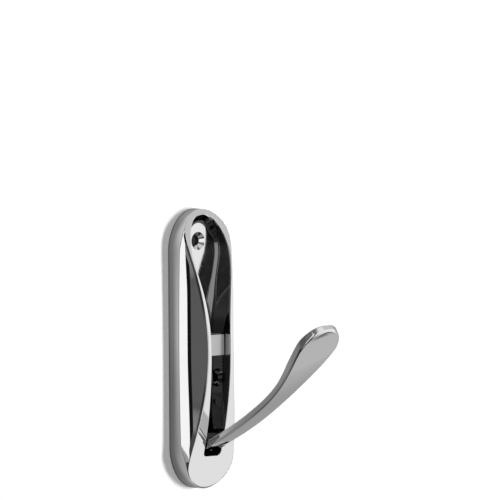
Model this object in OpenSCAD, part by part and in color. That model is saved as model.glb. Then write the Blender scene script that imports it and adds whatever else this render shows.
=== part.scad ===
// Folding coat hook: a waisted, arched housing with a spoon-shaped arm that folds flush into it.
// Millimetres. The wall is the plane Y = 0, the hook stands out towards -Y, +X is right and +Z is up.
// The arm is drawn folded away first and then swung open about its pin, which is how the part is stored.

/* [Housing] */
// Height of the housing
body_h = 130; // [124:0.5:140]
// Width of the housing at the wall
body_w = 31.8; // [30.5:0.1:36]
// Height of each rounded end, from where the straight sides stop
end_h = 19.9; // [17:0.1:23]
// How far the crown of the arched front stands off the wall
crown_d = 18.7; // [17.6:0.1:21]
// Radius of the arched front, seen from the side
arch_r = 172; // [165:1:200]
// Height of the crown above the middle of the housing
crown_z = -1.5; // [-4:0.5:1]
// Wall of the shell
shell_t = 2.2; // [1.8:0.1:2.6]
// Rounding of the front edge
edge_r = 0.7; // [0.3:0.1:1]

/* [Scooped flanks] */
// Half width of the front rim at the waist
waist_hw = 7.9; // [7.6:0.05:8.4]
// Radius of the waist, seen from the front
waist_r = 170; // [165:1:200]
// How softly the waist runs into the round ends
waist_soft = 6.5; // [5:0.5:9]
// Distance of the flank's valley from the middle, half way up
valley_x = 13.05; // [12.6:0.05:13.3]
// Distance of the flank's valley from the wall, half way up
valley_d = 9.9; // [9.6:0.05:10.3]
// How far the valley runs outwards by its two tips
valley_out = 0.55; // [0.3:0.05:0.6]
// How far the valley rises by its two tips
valley_rise = 0.5; // [0.3:0.05:0.6]
// Height of the valley's tips above and below the middle
valley_tip = 53; // [51:0.5:54]
// Height at which the valley starts to follow the arch down to its upper tip
pocket_z = 47; // [46:0.5:48]
// Length of that upper end of the valley
pocket_h = 8.3; // [7.5:0.1:8.5]
// Depth of the valley below the rim at its upper end
pocket_d = 1.2; // [0.9:0.05:1.3]
// Height of the upright side wall along the straight sides
side_h = 7.05; // [6:0.05:8]

/* [Arm] */
// Half width of the arm's stem
stem_hw = 5.25; // [4.9:0.05:5.6]
// Half width of the arm at its heel
heel_hw = 4.6; // [4.2:0.05:4.8]
// Radius of the flare from the stem to the paddle, seen from the front
flare_r = 134; // [128:1:150]
// Half width of the paddle
paddle_hw = 11.7; // [11:0.05:11.9]
// Height of the paddle's widest place below the housing's top, when the arm is folded
paddle_drop = 21; // [19:0.5:23]
// Length of the paddle's round tip
paddle_tip = 13.4; // [12:0.1:14]
// How softly the stem runs into the paddle
paddle_soft = 3; // [2:0.5:4]
// Thickness of the stem
stem_t = 3.5; // [3:0.1:3.8]
// Thickness of the paddle where it is thickest
paddle_t = 4.6; // [4.2:0.1:5]
// Thickness of the paddle at its tip
tip_t = 3.2; // [2.6:0.1:3.6]
// Height at which the arm starts to thicken
swell_z = 16; // [12:0.5:20]
// Length over which the arm thickens
swell_h = 20; // [16:0.5:24]
// Distance of the stop face's outer corner from the hinge axis, off the wall
tail_d = 0.9; // [0.7:0.1:1.1]
// Height of the small face at the end of the heel
heel_end = 2.2; // [1.8:0.1:2.4]
// Room below the arm's tail as it swings
heel_gap = 0.8; // [0.7:0.1:1.4]
// How far the folded stem stands above the front
stem_rise = 0.3; // [0:0.05:0.5]
// Height from which the arm's face runs down to lie flush at the paddle
flush_z = 10; // [6:0.5:14]
// How much further out the arm's face lies at the heel
heel_rise = 1.2; // [0.8:0.1:1.5]
// Gap between the folded arm and the housing
arm_gap = 0.6; // [0.4:0.05:0.8]
// Gap for a finger above the paddle
finger_gap = 5.4; // [4.8:0.1:6]

/* [Hinge] */
// Height of the hinge axis above the housing's lower end
pivot_up = 24; // [23:0.5:25.5]
// Distance of the hinge axis from the wall
pivot_d = 9.6; // [9.3:0.05:9.9]
// How far the arm opens
open_angle = 58; // [54:1:62]
// Radius of the arm's hub
hub_r = 3.8; // [3.5:0.05:3.9]
// Radius of the pin
pin_r = 1.75; // [1.5:0.05:2]
// Length of the pin
pin_l = 21; // [18:0.5:22]
// Running clearance of the arm on its pin
run_gap = 0.03; // [0.02:0.01:0.06]
// Radial clearance of the pin in its saddles
seat_gap = 0.01; // [0.01:0.01:0.04]
// Thickness of each friction washer
washer_t = 0.5; // [0.4:0.05:0.5]
// Radius of the friction washers
washer_r = 3.6; // [3.2:0.1:3.7]
// Length of the stop face on the arm's tail
stop_l = 3.5; // [3:0.1:4]
// Depth of the detent flats on the hub
flat_t = 0.25; // [0.1:0.05:0.3]

/* [Back plate] */
// Thickness of the back plate
plate_t = 3.4; // [3.2:0.05:3.5]
// Gap between the plate's edge and the shell
plate_gap = 0.1; // [0.05:0.05:0.2]
// Height of the upper wall screw below the housing's top
screw_drop = 15; // [13:0.5:17]
// Height of the lower wall screw above the hinge axis
screw_up = 27; // [26:0.5:28]
// Radius of a wall screw's hole
screw_hole_r = 2.25; // [2:0.05:2.5]
// Radius of a wall screw's countersink
screw_sink_r = 4.2; // [3.9:0.1:4.6]
// Height of the two upper plate screws
fix_z = 12; // [10:0.5:14]
// Distance of the upper plate screws from the middle
fix_x = 10.9; // [10.7:0.05:11]
// Height of the lower plate screw above the housing's lower end
fix_low_up = 7.4; // [7:0.1:8]
// Radius of a plate screw's shank
fix_r = 1.2; // [1:0.05:1.3]
// Radius of a plate screw's head
fix_head_r = 2.2; // [2:0.05:2.3]
// Length of a plate screw
fix_l = 7; // [6:0.5:8]
// Radius of the bosses that take the plate screws
boss_r = 2.7; // [2.4:0.1:2.8]

/* [Rest bridge] */
// Height of the bridge's lower edge
bridge_z = -2.8; // [-4:0.1:-2]
// Height of the bridge from edge to edge
bridge_h = 9.8; // [8:0.1:11]
// Thickness of the bridge's strip
bridge_t = 1.2; // [1:0.1:1.5]
// Gap between the bridge and the folded arm
rest_gap = 0.15; // [0.1:0.05:0.3]
// Width of the tabs that hold the bridge in the plate
tab_w = 5; // [4:0.5:6]

/* [Detent spring] */
// Thickness of the leaf
leaf_t = 0.5; // [0.4:0.05:0.6]
// Width of the leaf
leaf_w = 7; // [6:0.5:8]
// Length of the leaf above its rivet
leaf_end = 4; // [3.5:0.5:4.5]
// Height of the leaf's rivet above the hinge axis
rivet_up = 16; // [15.5:0.5:16.5]
// Radius of the rivet's shank
rivet_r = 1.2; // [1:0.1:1.4]
// Radius of the rivet's head
rivet_head_r = 2.2; // [2:0.1:2.6]
// Height of the rivet's head
rivet_head_t = 0.9; // [0.7:0.1:1.1]
// Gap between the leaf and the hub
leaf_gap = 0.1; // [0.05:0.05:0.2]

/* [Hidden] */
chrome = [0.80, 0.81, 0.83];
steel = [0.62, 0.63, 0.65];
brass = [0.72, 0.60, 0.34];
over = 1;
slip = 0.02;
end_steps = 9;
mid_steps = 24;
tip_steps = 8;
arm_steps = 22;
ring_steps = 24;
plan_steps = 40;
crown_steps = 12;
leaf_steps = 8;
round_fn = 48;
end_angle = 88;
side_round = 0.45;
face_round = 0.6;
edge_share = 0.45;
rim_share = 0.9;
pin_end = 0.1;
cheek_t = 2.2;
bore_end = 0.5;
nose = 0.6;
hub_lift = 1.1;
straight_z = body_h / 2 - end_h;
paddle_z = body_h / 2 - paddle_drop;
pivot_z = pivot_up - body_h / 2;
screw_top_z = body_h / 2 - screw_drop;
screw_low_z = pivot_z + screw_up;
fix_low_z = fix_low_up - body_h / 2;
rivet_z = pivot_z + rivet_up;
leaf_top_z = rivet_z + leaf_end;
recess_top = paddle_z + paddle_tip + finger_gap;
cheek_x = heel_hw + arm_gap;
cheek_out = pin_l / 2 + pin_end;
cheek_hz = pin_r + cheek_t;
flank_slope = (valley_d - side_h) / (body_w / 2 - valley_x);
stop_reach = pivot_d - plate_t - rest_gap;
recess_bottom = pivot_z - tail_reach() - heel_gap;

// Smaller of two values, with the corner between them rounded over the length k
function soft_min(a, b, k) = min(a, b) - k / 4 * pow(max(1 - abs(a - b) / k, 0), 2);

// Half width of a straight-sided shape with an elliptic end, z above where the end begins
function end_hw(hw, h, z) = z <= 0 ? hw : hw * sqrt(max(1 - pow(z / h, 2), 0));

// Half width of the housing at the wall, inset by t
function base_hw(z, t = 0) = end_hw(body_w / 2 - t, end_h - t, abs(z) - straight_z);

// Distance of the arched front from the wall
function arch(z) = crown_d - arch_r + sqrt(arch_r * arch_r - pow(z - crown_z, 2));

// Half width of the front rim: the waist's arc, run into the round ends
function rim_hw(z) = soft_min(waist_hw + z * z / (2 * waist_r), base_hw(z), waist_soft);

// Half width of the folded arm: heel, stem, flare and round paddle
function arm_hw(z) =
    z < 0 ? stem_hw - (stem_hw - heel_hw) * pow(min(z / (pivot_z + over), 1), 2)
          : soft_min(stem_hw + z * z / (2 * flare_r),
                     end_hw(paddle_hw, paddle_tip, z - paddle_z), paddle_soft);

// Distance of the folded arm's face from the wall: just proud at the stem and heel, flush at the paddle
function arm_face(z) = arch(z) + stem_rise * (1 - smooth((z - flush_z) / (paddle_z - flush_z)))
    + heel_rise * pow(min(z, 0) / pivot_z, 2);
function smooth(t) = let (u = min(max(t, 0), 1)) u * u * (3 - 2 * u);

// Thickness of the arm: even along the stem, swelling to the paddle, thinner again round its tip
function arm_t(z) = min(stem_t + (paddle_t - stem_t) * smooth((z - swell_z) / swell_h),
                        tip_t + end_hw(paddle_t - tip_t, paddle_tip, z - paddle_z));

// Half width of the recess: the arm and its gap, with the finger gap over the paddle
function recess_hw(z) =
    z < paddle_z ? arm_gap + (z < 0 ? arm_hw(z) : soft_min(stem_hw + z * z / (2 * flare_r),
                                                           paddle_hw, paddle_soft))
                 : min(arm_gap + soft_min(stem_hw + z * z / (2 * flare_r), paddle_hw, paddle_soft),
                       end_hw(paddle_hw + arm_gap, paddle_tip + finger_gap, z - paddle_z));

// Heel of the arm in its own plane, as (z, d) from the hinge axis. The stop face leans by the opening
// angle, so that it lies flat on the back plate when the arm is open.
function tail_z() = -(stop_reach + tail_d * cos(open_angle)) / sin(open_angle);
function tail_reach() = sqrt(pow(tail_z(), 2) + pow(tail_d, 2));

// Heights at which the housing is cut into sections, closer together round its ends
function end_zs(side) = [for (i = [0 : end_steps - 1])
    let (a = end_angle * (side < 0 ? 1 - i / end_steps : (i + 1) / end_steps))
    side * (straight_z + end_h * sin(a))];
function body_zs() = concat(end_zs(-1),
    [for (i = [0 : mid_steps]) straight_z * (2 * i / mid_steps - 1)], end_zs(1));

// Corner of the rim, valley and side wall at height z, as (x, d)
function rim_pt(z) = [rim_hw(z), arch(z)];
function valley_pt(z) = let (u = pow(z / valley_tip, 2), r = rim_pt(z),
        low = z > 0 ? r[1] - end_hw(pocket_d, pocket_h, z - pocket_z) : r[1],
        v = [valley_x + valley_out * u, min(valley_d + valley_rise * u, low)])
    z > -valley_tip && z < pocket_z + pocket_h && r[1] > v[1] ? [max(v[0], r[0]), v[1]] : r;
function side_pt(z) = let (v = valley_pt(z))
    [base_hw(z), v[1] - max(base_hw(z) - v[0], 0) * flank_slope];
function between(a, b, len) = let (v = b - a, n = norm(v)) n < slip ? a : a + v * min(len / n, edge_share);

// Right half of the housing's outer section, from the wall to the middle of the front
function skin_half(z) = let (s = side_pt(z), v = valley_pt(z), r = rim_pt(z), e = min(edge_r, r[0] / 3))
    [[s[0], 0], between(s, [s[0], 0], e), between(s, v, e), v, between(r, v, e),
     between(r, [0, r[1]], e), [r[0] / 2, r[1]]];

// Right half of the hollow inside, one shell thickness in
function hollow_half(z) = let (s = side_pt(z), v = valley_pt(z), r = rim_pt(z), x = base_hw(z, shell_t))
    [[x, -over], [x, max(s[1] - shell_t / 2, over)],
     [max(min(v[0] - shell_t, x), slip), max(v[1] - shell_t / 2, over)],
     [max(min(r[0] - shell_t, x), slip) * rim_share, r[1] - shell_t]];

function mirrored(half) = concat(half, [for (i = [len(half) - 1 : -1 : 0]) [-half[i][0], half[i][1]]]);

// Solid through a list of rings with the same number of points, closed by a fan at each end
module loft(rings) {
    n = len(rings[0]);
    m = len(rings);
    pts = [for (r = rings) each r];
    mid = len(pts);
    faces = concat(
        [for (i = [0 : m - 2], j = [0 : n - 1]) let (k = (j + 1) % n)
            each [[i * n + j, i * n + k, (i + 1) * n + k], [i * n + j, (i + 1) * n + k, (i + 1) * n + j]]],
        [for (j = [0 : n - 1]) [mid, (j + 1) % n, j]],
        [for (j = [0 : n - 1]) [mid + 1, (m - 1) * n + j, (m - 1) * n + (j + 1) % n]]);
    ends = [centroid(rings[0]), centroid(rings[m - 1])];
    polyhedron(concat(pts, ends), faces, convexity = 6);
}
function centroid(r) = [for (c = [0 : 2]) sum([for (p = r) p[c]]) / len(r)];
function sum(v, i = 0) = i < len(v) ? v[i] + sum(v, i + 1) : 0;

// Shape drawn in front view, standing from depth d0 to depth d1 off the wall
module plan(d0, d1) {
    translate([0, -d0, 0]) rotate([90, 0, 0]) linear_extrude(d1 - d0) children();
}

// Shape drawn in side view as (z, d), as wide as 2 * hw
module side_view(hw) {
    rotate([0, -90, 0]) mirror([0, 1, 0]) translate([0, 0, -hw]) linear_extrude(2 * hw) children();
}

// Rod along X
module cross_rod(r, x0, x1, z, d) {
    translate([x0, -d, z]) rotate([0, 90, 0]) cylinder(r = r, h = x1 - x0, $fn = round_fn);
}

// Rod off the wall
module wall_rod(r, d0, d1, x, z) {
    translate([x, -d0, z]) rotate([90, 0, 0]) cylinder(r = r, h = d1 - d0, $fn = round_fn);
}

// Outline of the housing at the wall, inset by t
module base_outline(t = 0) {
    right = [for (i = [0 : plan_steps]) let (a = -90 + 180 * i / plan_steps,
        z = (a < 0 ? -1 : 1) * straight_z + (end_h - t) * sin(a)) [(body_w / 2 - t) * cos(a), z]];
    polygon(concat(right, [for (i = [plan_steps - 1 : -1 : 1]) [-right[i][0], right[i][1]]]));
}

// Outline of the recess that the arm folds into, grown by t
module recess_outline(t = 0) {
    low = recess_bottom - t;
    top_h = recess_top - paddle_z;
    steps = plan_steps - crown_steps;
    side = concat([[recess_hw(recess_bottom) + t - over, low]],
        [for (i = [0 : steps]) let (z = low + over + (paddle_z - low - over) * i / steps)
            [recess_hw(max(z, recess_bottom)) + t, z]]);
    crown = [for (i = [1 : crown_steps - 1]) let (a = 90 * i / crown_steps)
        [(recess_hw(paddle_z) + t) * cos(a), paddle_z + (top_h + t) * sin(a)]];
    right = concat(side, crown, [[0, recess_top + t]]);
    polygon(concat(right, [for (i = [len(right) - 2 : -1 : 0]) [-right[i][0], right[i][1]]]));
}

// Outer form of the housing: arched front, waisted rim and scooped flanks
module outer_form() {
    loft([for (z = body_zs()) [for (p = mirrored(skin_half(z))) [p[0], -p[1], z]]]);
}

// Hollow behind the front, open to the wall
module hollow_form() {
    loft([for (z = body_zs()) let (h = z * (body_h - 2 * shell_t) / body_h)
        [for (p = mirrored(hollow_half(h))) [p[0], -p[1], h]]]);
}

module plate_screw_places() {
    for (p = [[-fix_x, fix_z], [fix_x, fix_z], [0, fix_low_z]]) translate([p[0], 0, p[1]]) children();
}

module pin_cheeks() {
    for (s = [-1, 1]) translate([s > 0 ? cheek_x : -cheek_out, -crown_d, pivot_z - cheek_hz])
        cube([cheek_out - cheek_x, crown_d - plate_t, 2 * cheek_hz]);
}

// Saddle for the pin, open to the back
module pin_saddle() {
    cross_rod(pin_r + seat_gap, -cheek_out, cheek_out, pivot_z, pivot_d);
    translate([-cheek_out, -pivot_d, pivot_z - pin_r - seat_gap])
        cube([2 * cheek_out, pivot_d + over, 2 * (pin_r + seat_gap)]);
}

module housing_shell() color(chrome) difference() {
    outer_form();
    difference() {
        hollow_form();
        plan(plate_t, crown_d + over) recess_outline(shell_t - arm_gap / 2);
        pin_cheeks();
        plate_screw_places() wall_rod(boss_r, plate_t, crown_d, 0, 0);
    }
    plan(-over, crown_d + over) recess_outline();
    plan(-over, plate_t) base_outline(shell_t);
    pin_saddle();
    plate_screw_places() wall_rod(fix_r + seat_gap, 0, fix_l + bore_end, 0, 0);
}

module countersunk_hole(z) {
    wall_rod(screw_hole_r, -over, plate_t + over, 0, z);
    translate([0, -plate_t, z]) rotate([-90, 0, 0])
        cylinder(r1 = screw_sink_r, r2 = screw_hole_r, h = screw_sink_r - screw_hole_r, $fn = round_fn);
    wall_rod(screw_sink_r, plate_t, plate_t + over, 0, z);
}

module screw_form(gap) {
    wall_rod(fix_r + gap, -gap, fix_l, 0, 0);
    translate([0, over, 0]) rotate([90, 0, 0]) cylinder(r = fix_head_r + gap, h = over, $fn = round_fn);
    rotate([90, 0, 0]) cylinder(r1 = fix_head_r + gap, r2 = fix_r + gap,
                                h = fix_head_r - fix_r, $fn = round_fn);
}

module bridge_tabs(gap) {
    for (s = [-1, 1]) translate([s * (bridge_hw - bridge_t / 2), -plate_t / 2, bridge_z + bridge_h / 2])
        cube([bridge_t + 2 * gap, plate_t + 2 * gap, tab_w + 2 * gap], center = true);
}
bridge_hw = stem_hw + arm_gap - slip;
bridge_face = arm_face(bridge_z + bridge_h) - stem_t - rest_gap;

module back_plate() color(chrome) difference() {
    union() {
        plan(0, plate_t) base_outline(shell_t + plate_gap);
        for (s = [-1, 1]) translate([s > 0 ? cheek_x + slip : -cheek_out + slip,
                                     -(pivot_d - pin_r - seat_gap), pivot_z - pin_r + slip])
            cube([cheek_out - cheek_x - 2 * slip, pivot_d - pin_r - seat_gap, 2 * (pin_r - slip)]);
    }
    countersunk_hole(screw_top_z);
    countersunk_hole(screw_low_z);
    plate_screw_places() screw_form(seat_gap);
    wall_rod(rivet_r + seat_gap, -over, plate_t + over, 0, rivet_z);
    wall_rod(rivet_head_r + seat_gap, -over, rivet_head_t, 0, rivet_z);
    bridge_tabs(seat_gap);
}

// Ring of the folded arm at height z: a flat oval, its edges rounded
function arm_ring(z) = let (w = arm_hw(z), t = arm_t(z) / 2, c = arm_face(z) - t)
    [for (i = [0 : ring_steps - 1]) let (a = 360 * (i + 0.5) / ring_steps,
        x = w * sign(cos(a)) * pow(abs(cos(a)), side_round),
        d = t * sign(sin(a)) * pow(abs(sin(a)), face_round))
        [x, -(c + d), z]];
function arm_zs() = let (z0 = pivot_z + hub_r / 2)
    concat([for (i = [0 : arm_steps]) z0 + (paddle_z - z0) * i / arm_steps],
           [for (i = [1 : tip_steps]) paddle_z + paddle_tip * sin(end_angle * i / tip_steps)]);

// Heel in side view, round the hinge axis: hub, tail and the start of the stem
module heel_view() {
    s = sin(open_angle);
    c = cos(open_angle);
    a = [tail_z(), tail_d];
    end_z = a[0] + 3 * nose;
    b = a + stop_l * [c, -s];
    top_z = hub_r * hub_lift;
    top_d = arm_face(pivot_z + top_z) - pivot_d;
    circle(r = hub_r, $fn = round_fn);
    polygon([a + nose * [c, -s], b, b + (stop_reach - hub_r / 2) * [s, c], [0, 0],
             [top_z, top_d - stem_t], [top_z, top_d], [0, arm_face(pivot_z) - pivot_d],
             [end_z, arm_face(pivot_z + end_z) - pivot_d], [a[0] + nose, tail_d + heel_end]]);
}

// Arm as it lies folded, with the hinge axis at the origin
module folded_arm() {
    difference() {
        union() {
            translate([0, pivot_d, -pivot_z]) loft([for (z = arm_zs()) arm_ring(z)]);
            side_view(heel_hw) heel_view();
        }
        rotate([0, 90, 0]) cylinder(r = pin_r + run_gap, h = 4 * heel_hw, center = true, $fn = round_fn);
        translate([0, hub_r - flat_t + over / 2, 0]) cube([4 * heel_hw, over, hub_r], center = true);
    }
}

module hook_arm() color(chrome)
    translate([0, -pivot_d, pivot_z]) rotate([open_angle, 0, 0]) folded_arm();

module pivot_pin() color(steel) cross_rod(pin_r, -pin_l / 2, pin_l / 2, pivot_z, pivot_d);

module friction_washers() color(brass)
    for (s = [-1, 1]) difference() {
        cross_rod(washer_r, s * (heel_hw + arm_gap / 2) - washer_t / 2,
                  s * (heel_hw + arm_gap / 2) + washer_t / 2, pivot_z, pivot_d);
        cross_rod(pin_r + run_gap, s * cheek_x - over, s * cheek_x + over, pivot_z, pivot_d);
    }

// Leaf in side view: flat under its rivet, then rising to the back of the hub
module detent_spring() color(steel) difference() {
    tip = pivot_d - hub_r - leaf_gap - leaf_t;
    flat_end = rivet_z - rivet_head_r - over;
    rise = [for (i = [0 : leaf_steps]) let (t = i / leaf_steps) [flat_end + (pivot_z + over - flat_end) * t,
        plate_t + (tip - plate_t) * smooth(t)]];
    low = concat([[leaf_top_z, plate_t]], rise, [[pivot_z - over, tip]]);
    side_view(leaf_w / 2) polygon(concat(low, [for (i = [len(low) - 1 : -1 : 0]) low[i] + [0, leaf_t]]));
    wall_rod(rivet_r + seat_gap, 0, crown_d, 0, rivet_z);
}

module spring_rivet() color(steel) {
    wall_rod(rivet_r, 0, plate_t + leaf_t + rivet_head_t / 2, 0, rivet_z);
    wall_rod(rivet_head_r, plate_t + leaf_t, plate_t + leaf_t + rivet_head_t, 0, rivet_z);
    wall_rod(rivet_head_r, 0, rivet_head_t - seat_gap, 0, rivet_z);
}

// Bridge that the folded arm rests on: a strip bent to a U, its tabs staked in the back plate
module rest_bridge() color(chrome) difference() {
    union() {
        translate([-bridge_hw, -bridge_face, bridge_z])
            cube([2 * bridge_hw, bridge_face - plate_t, bridge_h]);
        bridge_tabs(0);
    }
    translate([-bridge_hw + bridge_t, -bridge_face + bridge_t, bridge_z - over])
        cube([2 * (bridge_hw - bridge_t), bridge_face, bridge_h + 2 * over]);
}

module plate_screws() color(steel)
    plate_screw_places() intersection() {
        screw_form(0);
        wall_rod(fix_head_r + over, 0, fix_l, 0, 0);
    }

housing_shell();
back_plate();
hook_arm();
pivot_pin();
friction_washers();
detent_spring();
spring_rivet();
rest_bridge();
plate_screws();
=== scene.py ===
# %% [markdown]
# # A folding coat hook in polished chrome
# A small wall hook whose arm folds flush into its housing. Nearly everything on it is bright chrome,
# so the look comes from two things: surfaces without a single facet, and a room worth reflecting.
# The solids from the CAD model give the sizes. The chrome pieces are worked out again here as dense,
# smooth surfaces from the same formulas, and the small steel parts stay as they are.

# %% The frame that every piece is placed in
import math

import bmesh
import bpy
import numpy as np
from mathutils import Matrix, Vector


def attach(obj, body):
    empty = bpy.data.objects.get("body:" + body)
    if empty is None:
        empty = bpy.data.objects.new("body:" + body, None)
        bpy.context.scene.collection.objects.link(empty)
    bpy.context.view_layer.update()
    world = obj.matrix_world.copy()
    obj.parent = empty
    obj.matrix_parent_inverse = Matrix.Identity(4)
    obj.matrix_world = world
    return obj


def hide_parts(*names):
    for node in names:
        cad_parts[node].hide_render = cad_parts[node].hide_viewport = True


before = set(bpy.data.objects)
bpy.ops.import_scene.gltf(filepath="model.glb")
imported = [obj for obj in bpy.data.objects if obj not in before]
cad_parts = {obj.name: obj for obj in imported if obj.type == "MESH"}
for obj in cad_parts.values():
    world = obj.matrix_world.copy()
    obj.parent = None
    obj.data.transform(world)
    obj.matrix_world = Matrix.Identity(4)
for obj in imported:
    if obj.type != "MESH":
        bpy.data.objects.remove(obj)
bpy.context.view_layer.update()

# %% [markdown]
# ## The camera
# The picture was taken with a long lens from the left and slightly above, so that upright lines stay
# parallel. A far camera with a long lens gives the same drawing. It looks at a point right of and
# above the hook, because the hook stands in the lower left of the picture.

# %% The camera
MM = 0.001
CAMERA_LEFT = math.radians(43)
CAMERA_UP = math.radians(3.6)
CAMERA_ROLL = math.radians(0.38)
FRAME_MM = 232.1  # what the picture spans at the hook
LENS, SENSOR = 800, 36
FARTHEST = 50  # metres, past the far side of the room
AIM_RIGHT, AIM_UP = 26.07, 45.54  # the picture's middle from the middle of the hook's back


def camera_axes(left, up, roll):
    """Right, up and backward axes of a camera that stands to the left by one angle and above by another.
    Right is level before the roll, and the roll turns right and up about the backward axis."""
    back = np.array([-math.sin(left) * math.cos(up), -math.cos(left) * math.cos(up), math.sin(up)])
    right = np.array([math.cos(left), -math.sin(left), 0])
    above = np.cross(back, right)
    turn_right = right * math.cos(roll) - above * math.sin(roll)
    turn_up = above * math.cos(roll) + right * math.sin(roll)
    return turn_right, turn_up, back


right, above, back = camera_axes(CAMERA_LEFT, CAMERA_UP, CAMERA_ROLL)
aim = (right * AIM_RIGHT + above * AIM_UP) * MM
camera_data = bpy.data.cameras.new("camera")
camera_data.lens, camera_data.sensor_width = LENS, SENSOR
camera_data.clip_end = FARTHEST
camera = bpy.data.objects.new("camera", camera_data)
bpy.context.scene.collection.objects.link(camera)
place = aim + back * FRAME_MM * MM * LENS / SENSOR
axes = np.stack([right, above, back], axis=1)
camera.matrix_world = Matrix.Translation(place.tolist()) @ Matrix(axes.tolist()).to_4x4()
bpy.context.scene.camera = camera
print("camera stands", round(float(np.linalg.norm(place)), 2), "m away")

# %% [markdown]
# ## Sizes
# These are the part's own sizes in millimetres, the same values as in the CAD source. x is across,
# z is up the wall and d is the distance from the wall, which is minus Blender's y.

# %% Sizes in millimetres
# The housing's outline, its arched front and the waist of its rim
BODY_H, BODY_W, END_H = 130, 31.8, 19.9
CROWN_D, ARCH_R, CROWN_Z = 18.7, 172, -1.5
WAIST_HW, WAIST_R, WAIST_SOFT = 7.9, 170, 6.5
# The valley of the flank, and its upper end where it follows the arch down
VALLEY_X, VALLEY_D, VALLEY_OUT, VALLEY_RISE, VALLEY_TIP, SIDE_H = 13.05, 9.9, 0.55, 0.5, 53, 7.05
POCKET_Z, POCKET_H, POCKET_D = 47, 8.3, 1.2
# Walls and gaps
SHELL_T, PLATE_T, ARM_GAP, FINGER_GAP, HEEL_GAP, REST_GAP = 2.2, 3.4, 0.6, 5.4, 0.8, 0.15
# The arm from the front, then from the side
STEM_HW, HEEL_HW, FLARE_R = 5.25, 4.6, 134
PADDLE_HW, PADDLE_DROP, PADDLE_TIP, PADDLE_SOFT = 11.7, 21, 13.4, 3
STEM_T, PADDLE_T, TIP_T, SWELL_Z, SWELL_H = 3.5, 4.6, 3.2, 16, 20
STEM_RISE, FLUSH_Z, HEEL_RISE, TAIL_D, HEEL_END = 0.3, 10, 1.2, 0.9, 2.2
# The hinge, the bridge and the wall screws
PIVOT_UP, PIVOT_D, OPEN_ANGLE, HUB_R, STOP_L = 24, 9.6, 58, 3.8, 3.5
BRIDGE_Z, BRIDGE_H, BRIDGE_T = -2.8, 9.8, 1.2
SCREW_TOP, SCREW_LOW, SCREW_R = 50, -14, 2.25
# Sizes that follow from these
STRAIGHT_Z = BODY_H / 2 - END_H
PADDLE_Z = BODY_H / 2 - PADDLE_DROP
PIVOT_Z = PIVOT_UP - BODY_H / 2
FLANK_SLOPE = (VALLEY_D - SIDE_H) / (BODY_W / 2 - VALLEY_X)
LEAN = math.radians(OPEN_ANGLE)
STOP_REACH = PIVOT_D - PLATE_T - REST_GAP
TAIL_Z = -(STOP_REACH + TAIL_D * math.cos(LEAN)) / math.sin(LEAN)
RECESS_TOP = PADDLE_Z + PADDLE_TIP + FINGER_GAP
RECESS_BOTTOM = PIVOT_Z - math.hypot(TAIL_Z, TAIL_D) - HEEL_GAP
print("recess from", round(RECESS_BOTTOM, 2), "to", RECESS_TOP, "mm")

# %% [markdown]
# ## The curves of the design
# A designer draws this hook with a few curves: one arch for the front, one for the waist, two round
# ends and the flare of the arm. Each is a function of the height z here, so that a surface can be
# as dense as its reflections need.


# %% Steps, blends and round ends
def fade(value, start, end):
    """0 up to start and 1 from end, with 3t^2 - 2t^3 between them, where t is the share of the way.
    With start above end it falls instead of rising as value grows."""
    t = np.clip((value - start) / (end - start), 0, 1)
    return t * t * (3 - 2 * t)


def blend(a, b, share):
    """a at share 0 and b at share 1: a + (b - a) share."""
    return a + (b - a) * share


def soft_min(a, b, k):
    """The smaller of a and b, less k/4 times the square of 1 - |a - b|/k where they are closer than k."""
    return np.minimum(a, b) - k / 4 * np.maximum(1 - abs(a - b) / k, 0) ** 2


def end_hw(hw, h, z):
    """Half width hw up to z = 0, then that of an ellipse of height h: hw times the root of 1 - (z/h)^2."""
    return hw * np.sqrt(np.clip(1 - (np.maximum(z, 0) / h) ** 2, 0, 1))


# %% The housing's curves
def base_hw(z):
    """Half width of the housing at the wall: straight sides with an elliptic end above and below."""
    return end_hw(BODY_W / 2, END_H, abs(z) - STRAIGHT_Z)


def arch(z):
    """Distance of the arched front from the wall: a circle of radius ARCH_R seen from the side."""
    return CROWN_D - ARCH_R + np.sqrt(ARCH_R**2 - (z - CROWN_Z) ** 2)


def rim_hw(z):
    """Half width of the front rim: the waist's shallow arc, run into the round ends."""
    return soft_min(WAIST_HW + z * z / (2 * WAIST_R), base_hw(z), WAIST_SOFT)


print("waist", 2 * WAIST_HW, "mm wide, front", round(float(arch(0)), 2), "mm off the wall half way up")

# %% The arm's curves
def heel_taper(z):
    """Half width of the stem below the middle: it narrows to the heel by the square of the way."""
    return STEM_HW - (STEM_HW - HEEL_HW) * np.minimum(z / (PIVOT_Z + 1), 1) ** 2


def flare(z):
    """Half width of the stem above the middle: it widens on an arc of radius FLARE_R."""
    return STEM_HW + z * z / (2 * FLARE_R)


def arm_hw(z):
    """Half width of the folded arm: narrowing to the heel below z = 0, flaring to the paddle above."""
    paddle = end_hw(PADDLE_HW, PADDLE_TIP, z - PADDLE_Z)
    return np.where(z < 0, heel_taper(z), soft_min(flare(z), paddle, PADDLE_SOFT))


def arm_face(z):
    """Distance of the folded arm's face from the wall: the arch, a little more at the stem, and more
    again at the heel by the square of the height below the middle."""
    stem = STEM_RISE * (1 - fade(z, FLUSH_Z, PADDLE_Z))
    return arch(z) + stem + HEEL_RISE * (np.minimum(z, 0) / PIVOT_Z) ** 2


def arm_t(z):
    """Thickness of the arm: even along the stem, swelling to the paddle, thinner again round its tip."""
    swell = blend(STEM_T, PADDLE_T, fade(z, SWELL_Z, SWELL_Z + SWELL_H))
    return np.minimum(swell, TIP_T + end_hw(PADDLE_T - TIP_T, PADDLE_TIP, z - PADDLE_Z))


def recess_hw(z):
    """Half width of the recess along its straight part: the arm's half width and a gap."""
    return ARM_GAP + np.where(z < 0, heel_taper(z), soft_min(flare(z), PADDLE_HW, PADDLE_SOFT))


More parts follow.
